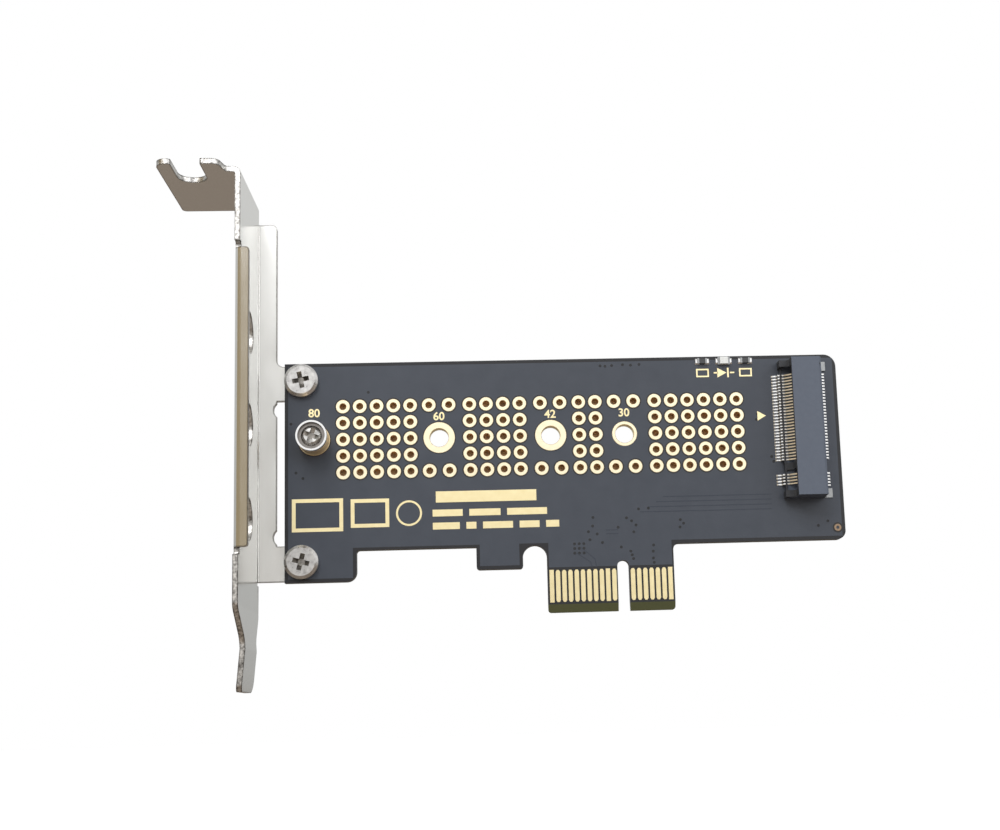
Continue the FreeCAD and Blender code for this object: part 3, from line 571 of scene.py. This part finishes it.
def retaining_finish(centre, normal):
    """0 for the rim and skirt, 1 for the groove in the cup with painted shadow, 2 for the dome with painted
    reflections, 3 for the cross recess with painted shade.
    """
    reach = math.dist((centre.x, centre.z), (FITTED_POST, DRIVE_LEVEL))
    depth = centre.y - CUP_RIM
    below_cup = depth > CUP_DEPTH + 0.2
    on_rim = depth < TOUCH and reach > DOME_RADIUS + 0.1
    if below_cup or on_rim or reach > CUP_RADIUS + 0.02:
        return 0
    if reach > DOME_RADIUS - 0.1:
        return 1
    return 2 if normal.y < -0.3 and depth < CUP_DEPTH - 0.05 else 3


def housing_finish(centre, normal):
    """1 for the socket's inner walls, floor, lip and key, which lie in its own shade."""
    outward = normal.x > 0.5 or abs(normal.z) > 0.5 or normal.y < -0.5
    return 0 if outward and centre.y < -0.5 and centre.x > SOCKET_ROOF else 1


def front_tail_finish(centre, _):
    """1 for the soldered tails in front of the socket."""
    return 1 if centre.x < SOCKET_FRONT + TAIL_LENGTH else 0


def rear_tail_finish(centre, _):
    """1 for the soldered tails behind the socket, which lie on the board."""
    return 1 if centre.y > -0.5 else 0


dress_by_rule("bracket", (STEEL, CUT_STEEL, LIP_STEEL, FLANGE_STEEL), bracket_finish)
dress_by_rule("bracket_screws", (SCREW, RECESS_SHADE), screw_finish)
dress_by_rule("m2_retaining_screw", (CHROME, GROOVE, DOME_REFLECTIONS, RECESS_SHADE), retaining_finish)
dress_by_rule("m2_socket_housing", (HOUSING, SOCKET_DEEP), housing_finish)
dress_by_rule("m2_lower_contacts", (ALLOY, TIN), front_tail_finish)
dress_by_rule("m2_upper_contacts", (ALLOY, TIN), rear_tail_finish)
dress_chips("lamp_resistor", GLAZE, DULL_TIN, axis=0, cap=0.3)
dress_chips("sense_resistor", GLAZE, DULL_TIN, axis=0, cap=0.3)
dress_chips("status_lamp_base", CARRIER, DULL_TIN, axis=0, cap=0.35)
dress_chips("bulk_capacitors", CERAMIC, TIN, axis=0, cap=0.5)
dress_chips("small_capacitors", CERAMIC, TIN, axis=2, cap=0.3)
dress_chips("feedback_resistors", GLAZE, TIN, axis=2, cap=0.2)


# ---------------------------------------------------------------- mesh helpers
def keep(name, mesh, material):
    """Puts a finished mesh on the card as a piece of its own."""
    mesh.name = name
    mesh.materials.clear()
    mesh.materials.append(material)
    piece = bpy.data.objects.new(name, mesh)
    bpy.context.scene.collection.objects.link(piece)
    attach(piece, "root")


def built_mesh(shape):
    """Plain mesh from a finished shape."""
    mesh = bpy.data.meshes.new("built")
    shape.to_mesh(mesh)
    shape.free()
    return mesh


def revolved(profile, segments):
    """Mesh turned about the Y axis from one line of (radius, depth) points, in millimetres."""
    return revolved_lines([profile], segments)


def revolved_lines(lines, segments):
    """Mesh turned about the Y axis from several lines of (radius, depth) points, in millimetres."""
    shape = bmesh.new()
    for line in lines:
        rings = []
        for step in range(segments):
            angle = 2 * math.pi * step / segments
            across, up = math.cos(angle), math.sin(angle)
            corners = [Vector((reach * across, depth, reach * up)) for reach, depth in line]
            rings.append([shape.verts.new(corner * MM) for corner in corners])
        for here, there in zip(rings, rings[1:] + rings[:1]):
            for index in range(len(line) - 1):
                shape.faces.new((here[index], here[index + 1], there[index + 1], there[index]))
    bmesh.ops.remove_doubles(shape, verts=shape.verts, dist=JOIN_DISTANCE)
    return built_mesh(shape)


def slabs(outlines, rise):
    """Mesh of thin slabs on the front face, each from its (x, z) outline in millimetres."""
    shape = bmesh.new()
    for outline in outlines:
        foot = [shape.verts.new(Vector((x, 0, z)) * MM) for x, z in outline]
        top = [shape.verts.new(Vector((x, -rise, z)) * MM) for x, z in outline]
        shape.faces.new(foot)
        shape.faces.new(top)
        for index in range(len(outline)):
            following = (index + 1) % len(outline)
            shape.faces.new((foot[index], foot[following], top[following], top[index]))
    bmesh.ops.recalc_face_normals(shape, faces=shape.faces)
    return built_mesh(shape)


def rectangle_outline(x, z, width, height):
    """Corners of an upright rectangle about its centre."""
    half_width, half_height = width / 2, height / 2
    return [(x - half_width, z - half_height), (x + half_width, z - half_height),
            (x + half_width, z + half_height), (x - half_width, z + half_height)]


def track_outline(points, width):
    """Outline of a narrow track along a line of (x, z) points."""
    sides = ([], [])
    for index, (x, z) in enumerate(points):
        before = points[max(index - 1, 0)]
        after = points[min(index + 1, len(points) - 1)]
        along = Vector((after[0] - before[0], after[1] - before[1])).normalized()
        sides[0].append((x - along.y * width / 2, z + along.x * width / 2))
        sides[1].append((x + along.y * width / 2, z - along.x * width / 2))
    return sides[0] + sides[1][::-1]


def repeat_group():
    """Geometry Nodes group that puts a pattern object on every point and gives it a material."""
    group = bpy.data.node_groups.new("repeat_pattern", "GeometryNodeTree")
    sockets = {}
    for label, kind in (("Geometry", "NodeSocketGeometry"), ("Pattern", "NodeSocketObject"),
                        ("Material", "NodeSocketMaterial")):
        sockets[label] = group.interface.new_socket(name=label, in_out="INPUT", socket_type=kind).identifier
    group.interface.new_socket(name="Geometry", in_out="OUTPUT", socket_type="NodeSocketGeometry")
    entry = group.nodes.new("NodeGroupInput")
    leave = group.nodes.new("NodeGroupOutput")
    info = group.nodes.new("GeometryNodeObjectInfo")
    copies = group.nodes.new("GeometryNodeInstanceOnPoints")
    realize = group.nodes.new("GeometryNodeRealizeInstances")
    paint = group.nodes.new("GeometryNodeSetMaterial")
    group.links.new(entry.outputs["Geometry"], copies.inputs["Points"])
    group.links.new(entry.outputs["Pattern"], info.inputs["Object"])
    group.links.new(info.outputs["Geometry"], copies.inputs["Instance"])
    group.links.new(copies.outputs["Instances"], realize.inputs["Geometry"])
    group.links.new(realize.outputs["Geometry"], paint.inputs["Geometry"])
    group.links.new(entry.outputs["Material"], paint.inputs["Material"])
    group.links.new(paint.outputs["Geometry"], leave.inputs["Geometry"])
    return group, sockets


REPEAT, REPEAT_SOCKETS = repeat_group()


def repeated(name, pattern_mesh, places, material):
    """Copies of a small mesh at (x, y, z) places in millimetres, kept as one plain mesh."""
    pattern = bpy.data.objects.new(name + "_pattern", pattern_mesh)
    points = bpy.data.meshes.new(name + "_points")
    points.from_pydata([tuple(Vector(place) * MM) for place in places], [], [])
    carrier = bpy.data.objects.new(name + "_carrier", points)
    bpy.context.scene.collection.objects.link(pattern)
    bpy.context.scene.collection.objects.link(carrier)
    modifier = carrier.modifiers.new("repeat", "NODES")
    modifier.node_group = REPEAT
    modifier[REPEAT_SOCKETS["Pattern"]] = pattern
    modifier[REPEAT_SOCKETS["Material"]] = material
    bpy.context.view_layer.update()
    result = carrier.evaluated_get(bpy.context.evaluated_depsgraph_get())
    mesh = bpy.data.meshes.new_from_object(result)
    bpy.data.objects.remove(carrier)
    bpy.data.objects.remove(pattern)
    bpy.data.meshes.remove(pattern_mesh)
    keep(name, mesh, material)


# ---------------------------------------------------------------- plating and print
def vent_places():
    """Centres of the ventilation holes."""
    bounds = [FITTED_POST, *FREE_POSTS, STOP_LINE - VENT_FIELD_END]
    rows = [DRIVE_LEVEL + row * VENT_PITCH for row in VENT_ROWS]
    places = []
    for left, right in zip(bounds, bounds[1:]):
        steps = math.floor((right - left - 2 * VENT_POST_CLEARANCE) / VENT_PITCH)
        first = (left + right - steps * VENT_PITCH) / 2
        places += [(first + step * VENT_PITCH, 0, z) for step in range(steps + 1) for z in rows]
    for post in FREE_POSTS:
        for x in (post - VENT_POST_SPACING, post + VENT_POST_SPACING):
            places += [(x, 0, rows[0]), (x, 0, rows[-1])]
    return places


def plated_ring(inner, outer, segments):
    """Rings of one plated hole, on both faces of the board and a little way into it."""
    lines = []
    for face, outward in ((0.0, -1), (BOARD_BACK, 1)):
        rise = face + outward * PLATING_RISE
        line = [(outer, face), (outer - RING_EDGE, rise), (inner + RING_EDGE, rise), (inner, face)]
        line.append((inner, face - outward * RING_DEPTH))
        lines.append(line[::-outward])
    return revolved_lines(lines, segments)


def barrel(inner, segments):
    """Wall of one plated hole between its two rings."""
    return revolved([(inner, BOARD_BACK - RING_DEPTH), (inner, RING_DEPTH)], segments)


def shade_disc(radius, segments):
    """Closed brown disc near the rear end of a hole: painted shade seen down the hole."""
    back = BOARD_BACK - SHADE_DISC_INSET
    front = back - SHADE_DISC_THICKNESS
    return revolved([(0.0, front), (radius, front), (radius, back), (0.0, back)], segments)


def dark_surround(outer, width, segments):
    """Narrow gap in the mask round a plated ring, on both faces of the board."""
    front = -GAP_RISE
    back = BOARD_BACK + GAP_RISE
    return revolved([(outer, front), (outer + width, front), (outer + width, back), (outer, back)], segments)


VENTS = vent_places()
repeated("vent_plating", plated_ring(VENT_HOLE, VENT_RING, VENT_SEGMENTS), VENTS, RING_GOLD)
# The vent barrels are coloured dark brown as painted shade inside the holes.
repeated("vent_barrels", barrel(VENT_HOLE, VENT_SEGMENTS), VENTS, BARREL_SHADE)
# Discs that close the vents: painted shade seen down the holes.
repeated("vent_films", shade_disc(VENT_HOLE + TOUCH, VENT_SEGMENTS), VENTS, HOLE_SHADE)
repeated("vent_mask_gaps", dark_surround(VENT_RING - TOUCH, VENT_GAP, VENT_SEGMENTS), VENTS, BARE)

WIDE_POSTS = [(x, 0, DRIVE_LEVEL) for x in (FITTED_POST, *FREE_POSTS[:2])]
NARROW_POSTS = [(FREE_POSTS[2], 0, DRIVE_LEVEL)]
repeated("post_pads_wide", plated_ring(POST_HOLE, POST_RING, POST_SEGMENTS), WIDE_POSTS, RING_GOLD)
repeated("post_pad_narrow", plated_ring(POST_HOLE, NARROW_POST_RING, POST_SEGMENTS), NARROW_POSTS, RING_GOLD)
repeated("post_barrels", barrel(POST_HOLE, POST_SEGMENTS), WIDE_POSTS + NARROW_POSTS, GOLD)
repeated("post_mask_gaps", dark_surround(POST_RING - TOUCH, POST_GAP, POST_SEGMENTS), WIDE_POSTS, BARE)

CORNER_VIA = [(BOARD_RIGHT - 1.25, 0, SHOULDER_LEVEL + 1.9)]
repeated("corner_via_plating", plated_ring(CORNER_HOLE, CORNER_RING, CORNER_SEGMENTS), CORNER_VIA, WORN_GOLD)
repeated("corner_via_mask_gap", dark_surround(CORNER_RING - TOUCH, CORNER_GAP, CORNER_SEGMENTS), CORNER_VIA,
         BARE)


def number_mesh(text, x, z, height):
    """Thin raised number on the front face, centred on (x, z); height is that of its digits."""
    curve = bpy.data.curves.new("number", "FONT")
    curve.body = text
    curve.align_x = "CENTER"
    curve.align_y = "CENTER"
    curve.size = height * MM / DIGIT_SHARE
    curve.extrude = 0.5 * PRINT_RISE * MM
    curve.resolution_u = 4
    curve.offset = DIGIT_WEIGHT * height * MM
    carrier = bpy.data.objects.new("number", curve)
    bpy.context.scene.collection.objects.link(carrier)
    bpy.context.view_layer.update()
    mesh = bpy.data.meshes.new_from_object(carrier.evaluated_get(bpy.context.evaluated_depsgraph_get()))
    upright = Matrix.Rotation(math.radians(90), 4, "X")
    mesh.transform(Matrix.Translation(Vector((x, -0.5 * PRINT_RISE, z)) * MM) @ upright)
    bpy.data.objects.remove(carrier)
    shape = bmesh.new()
    shape.from_mesh(mesh)
    bmesh.ops.remove_doubles(shape, verts=shape.verts, dist=JOIN_DISTANCE)
    shape.to_mesh(mesh)
    shape.free()
    return mesh


LENGTH_MARKS = (("80", FITTED_POST, 4.35), ("60", FREE_POSTS[0], 3.45), ("42", FREE_POSTS[1], 3.45),
                ("30", FREE_POSTS[2], 3.45))
for mark, place, lift in LENGTH_MARKS:
    digits = number_mesh(mark, place, DRIVE_LEVEL + lift, DIGIT_HEIGHT)
    keep("length_mark_" + mark, digits, GOLD)


def ring_outline(x, z, radius, width, parts=40):
    """Flat ring as a few quadrilateral outlines."""
    outlines = []
    for part in range(parts):
        first, last = 2 * math.pi * part / parts, 2 * math.pi * (part + 1) / parts
        corners = [(radius, first), (radius + width, first), (radius + width, last), (radius, last)]
        outlines.append([(x + r * math.cos(a), z + r * math.sin(a)) for r, a in corners])
    return outlines


def frame_outlines(left, level, width, height, stroke):
    """Four bars that frame a plain field."""
    x = left + width / 2
    outlines = []
    for side in (-1, 1):
        outlines.append(rectangle_outline(x, level + side * (height - stroke) / 2, width, stroke))
        outlines.append(rectangle_outline(x + side * (width - stroke) / 2, level, stroke, height - 2 * stroke))
    return outlines


def print_fields():
    """Plain shapes in the printed area: two frames, a ring and three rows of bars."""
    left = BOARD_LEFT + 1.15
    level = 16.5
    outlines = frame_outlines(left, level, 8.1, 5.3, PRINT_STROKE)
    outlines += frame_outlines(left + 9.3, level + 0.15, 6.1, 4.6, PRINT_STROKE)
    outlines += ring_outline(left + 18.55, level, 1.75, 0.32)
    rows = (
        (left + 22.85, level + 2.5, 1.8, (16.1,)),
        (left + 22.3, level - 0.1, 1.1, (4.8, 5.0, 6.4)),
        (left + 22.3, level - 2.2, 1.1, (4.3, 1.6, 4.8, 3.2, 2.1)),
    )
    word_space = 1.05
    for x, z, height, lengths in rows:
        for length in lengths:
            outlines.append(rectangle_outline(x + length / 2, z, length, height))
            x += length + word_space
    return slabs(outlines, PRINT_RISE)


keep("print_fields", print_fields(), GOLD)


def part_symbols():
    """Resistor and diode symbols below the parts of the top row, and an arrow beside the socket."""
    level = BOARD_TOP - 2.75
    half = 0.8
    stroke = 0.24
    outlines = []
    for node in ("sense_resistor", "lamp_resistor"):
        outlines += frame_outlines(middle(node).x - 1.05, level, 2.1, 1.4, stroke)
    x = middle("status_lamp_base").x
    outlines.append([(x - 1.1, level - half), (x + 0.4, level), (x - 1.1, level + half)])
    outlines.append(rectangle_outline(x + 0.65, level, 0.26, 2 * half))
    outlines += [rectangle_outline(x + side * 1.35, level, 0.7, stroke) for side in (-1, 1)]
    tip, arrow_level = FRONT_TAILS - 1.6, 31.2
    outlines.append([(tip - 1.4, arrow_level + half), (tip, arrow_level), (tip - 1.4, arrow_level - half)])
    return slabs(outlines, PRINT_RISE)


keep("part_symbols", part_symbols(), GOLD)


# ---------------------------------------------------------------- vias and traces
THERMAL_VIAS = [(-7.7 + VIA_PITCH * column, 9.4 + VIA_PITCH * row) for column in range(3) for row in range(3)]
LOOSE_VIAS = [
    (-4.6, 15.1), (-4.7, 13.7), (-5.4, 12.8), (-4.0, 12.4), (-5.2, 11.5), (-3.2, 11.0), (-0.6, 13.4),
    (0.8, 14.9), (1.6, 14.4), (2.3, 13.7), (1.9, 12.6), (-0.2, 10.2), (1.3, 9.5), (1.5, 8.9), (1.7, 8.3),
    (5.0, 10.4), (4.9, 9.4), (4.9, 8.3), (5.0, 7.6), (2.8, 16.3), (4.4, 16.4), (9.5, 14.4), (31.9, 12.9),
    (33.5, 13.6), (24.9, 24.4), (25.2, 23.6), (22.9, 31.5), (22.7, 30.6), (-51.9, 23.4), (-50.8, 22.5),
    (-52.7, 31.4), (-40.3, 36.4), (-44.3, 35.2), (-2.6, 40.1), (-1.8, 40.0), (-0.7, 40.1), (1.1, 40.2),
    (2.4, 40.1), (3.8, 40.2), (9.4, 13.2), (10.0, 13.8),
]


def tented_via(radius, segments):
    """Low ring with a sunk middle, under the mask, on both faces."""
    crest = -0.02
    profile = [(1.7 * radius, 0.0), (1.3 * radius, crest), (radius, crest)]
    profile += [(0.6 * radius, -0.005), (0.0, -0.004)]
    back = [(reach, BOARD_BACK - depth) for reach, depth in profile]
    return revolved_lines([profile[::-1], back], segments)


VIAS = [(x, 0, z) for x, z in THERMAL_VIAS + LOOSE_VIAS]
repeated("vias", tented_via(VIA_RADIUS, VIA_SEGMENTS), VIAS, VIA)


def traces():
    """Tracks from the edge connector towards the socket and the power parts."""
    tracks = []
    for index in range(4):
        level = 15.8 + 0.8 * index
        tracks.append([(3.0 + 1.3 * index, level), (24.5, level)])
    for index in range(2):
        x = -5.2 + 0.7 * index
        tracks.append([(x - 2.2, 9.4 + 0.9 * index), (x, 7.9 + 0.5 * index), (x + 0.2, 7.1)])
    for index in range(2):
        tracks.append([(-2.6, 12.4 + 0.6 * index), (-0.6, 12.4 + 0.6 * index)])
    return slabs([track_outline(track, TRACE_WIDTH) for track in tracks], TRACE_RISE)


keep("traces", traces(), TRACE)


# ---------------------------------------------------------------- solder
def pin_levels(first, counts):
    """Levels of one row of socket contacts."""
    before, after = counts
    levels = [first - index * PIN_PITCH for index in range(before)]
    levels += [first - (before + PINS_MISSING + index) * PIN_PITCH for index in range(after)]
    return [DRIVE_LEVEL + level for level in levels]


def fillet_block(length, width, rise, top_length=0.72, top_width=0.6):
    """Low solder bead about the origin on the front face; its flat top is a share of its foot."""
    shape = bmesh.new()
    base = [shape.verts.new(Vector((x, 0, z)) * MM) for x, z in rectangle_outline(0, 0, length, width)]
    top = [shape.verts.new(Vector((v.co.x * top_length, -rise * MM, v.co.z * top_width))) for v in base]
    shape.faces.new(top)
    for index in range(4):
        following = (index + 1) % 4
        shape.faces.new((base[index], base[following], top[following], top[index]))
    bmesh.ops.recalc_face_normals(shape, faces=shape.faces)
    return built_mesh(shape)


front_fillets = [(FRONT_TAILS + PIN_SOLDER_INSET, 0, z) for z in pin_levels(PIN_FIRST_LOWER, PIN_COUNTS_LOWER)]
rear_fillets = [(REAR_TAILS - PIN_SOLDER_INSET, 0, z) for z in pin_levels(PIN_FIRST_UPPER, PIN_COUNTS_UPPER)]
repeated("front_pin_solder", fillet_block(length=1.3, width=0.3, rise=0.1), front_fillets, TIN)
repeated("rear_pin_solder", fillet_block(length=1.1, width=0.3, rise=0.1), rear_fillets, TIN)

chip_ends = []
for node_name in ("lamp_resistor", "sense_resistor", "status_lamp_base"):
    for corner in (low(node_name), high(node_name)):
        chip_ends.append((corner.x, 0, middle(node_name).z))
repeated("chip_solder", fillet_block(length=0.8, width=1.0, rise=0.22), chip_ends, TIN)


# ---------------------------------------------------------------- studio
def studio_floor():
    """Large pale floor below the card, warm and dim to everything but the camera."""
    bpy.ops.mesh.primitive_plane_add(size=6.0, location=(0, 0, cad_box[0].z - 0.03))
    floor = bpy.context.object
    floor.name = "floor"
    material, tree, shader = start_material("pale_floor")
    shader.inputs["Roughness"].default_value = 0.9
    shader.inputs["Emission Color"].default_value = (1.0, 1.0, 1.0, 1.0)
    seen = tree.nodes.new("ShaderNodeLightPath").outputs["Is Camera Ray"]
    paint = mix_colour(tree, seen, (0.22, 0.18, 0.145), (0.25, 0.25, 0.25))
    tree.links.new(paint, shader.inputs["Base Color"])
    tree.links.new(math_node(tree, "MULTIPLY", seen, 0.82), shader.inputs["Emission Strength"])
    floor.data.materials.append(material)


def soft_light(name, place, target, size, power):
    """White square area light at place, in metres, aimed at target."""
    data = bpy.data.lights.new(name, "AREA")
    data.size = size
    data.energy = power
    light = bpy.data.objects.new(name, data)
    light.location = place
    light.rotation_euler = (Vector(target) - Vector(place)).to_track_quat("-Z", "Y").to_euler()
    bpy.context.scene.collection.objects.link(light)


def fade(tree, value, start, end):
    """Smooth step of a socket from 0 at start to 1 at end."""
    node = tree.nodes.new("ShaderNodeMapRange")
    node.interpolation_type = "SMOOTHSTEP"
    tree.links.new(value, node.inputs["Value"])
    node.inputs["From Min"].default_value = start
    node.inputs["From Max"].default_value = end
    return node.outputs["Result"]


def surroundings():
    """White behind the card for the camera, and for reflections a bright room with a tan left side."""
    world = bpy.data.worlds.new("studio")
    bpy.context.scene.world = world
    world.use_nodes = True
    tree = world.node_tree
    seen = tree.nodes.new("ShaderNodeLightPath").outputs["Is Camera Ray"]
    room = tree.nodes["Background"]
    plain = tree.nodes.new("ShaderNodeBackground")
    plain.inputs["Color"].default_value = (1.0, 1.0, 1.0, 1.0)
    coordinates = tree.nodes.new("ShaderNodeTexCoord")
    split = tree.nodes.new("ShaderNodeSeparateXYZ")
    tree.links.new(coordinates.outputs["Generated"], split.inputs[0])
    right, away, up = split.outputs
    behind = fade(tree, away, -0.10, 0.10)
    upwards = fade(tree, up, 0.02, 0.36)
    downwards = fade(tree, math_node(tree, "MULTIPLY", up, -1.0), 0.0, 0.30)
    leftwards = fade(tree, math_node(tree, "MULTIPLY", right, -1.0), 0.29, 0.38)
    leftwards = math_node(tree, "MULTIPLY", leftwards, math_node(tree, "SUBTRACT", 1.0, behind))
    front = mix_colour(tree, upwards, (0.66, 0.66, 0.65), (1.28, 1.28, 1.30))
    front = mix_colour(tree, leftwards, front, (0.39, 0.31, 0.19))
    back = mix_colour(tree, upwards, (0.46, 0.46, 0.45), (0.68, 0.68, 0.67))
    colour = mix_colour(tree, behind, front, back)
    colour = mix_colour(tree, downwards, colour, (0.24, 0.20, 0.165))
    tree.links.new(colour, room.inputs["Color"])
    room.inputs["Strength"].default_value = 1.0
    mix = tree.nodes.new("ShaderNodeMixShader")
    tree.links.new(seen, mix.inputs[0])
    tree.links.new(room.outputs[0], mix.inputs[1])
    tree.links.new(plain.outputs[0], mix.inputs[2])
    tree.links.new(mix.outputs[0], tree.nodes["World Output"].inputs["Surface"])


def camera():
    """Camera in front of the card and below its middle, turned slightly up."""
    data = bpy.data.cameras.new("camera")
    data.sensor_width = 36.0
    data.sensor_fit = "HORIZONTAL"
    data.lens = 52.3
    data.shift_x = -0.074
    data.shift_y = 0.0669
    data.clip_start = 0.001
    view = bpy.data.objects.new("camera", data)
    view.location = Vector((-20.335, -230.723, -17.287)) * MM
    view.rotation_euler = [math.radians(angle) for angle in (99.399, 1.81, -2.893)]
    bpy.context.scene.collection.objects.link(view)
    bpy.context.scene.camera = view


studio_floor()
soft_light("key", place=(-0.25, -0.45, 0.55), target=(0, 0, 0.02), size=0.5, power=4.0)
soft_light("fill", place=(0.5, -0.5, 0.1), target=(0, 0, 0.02), size=0.6, power=2.0)
surroundings()
camera()
bpy.context.scene.view_settings.view_transform = "Standard"
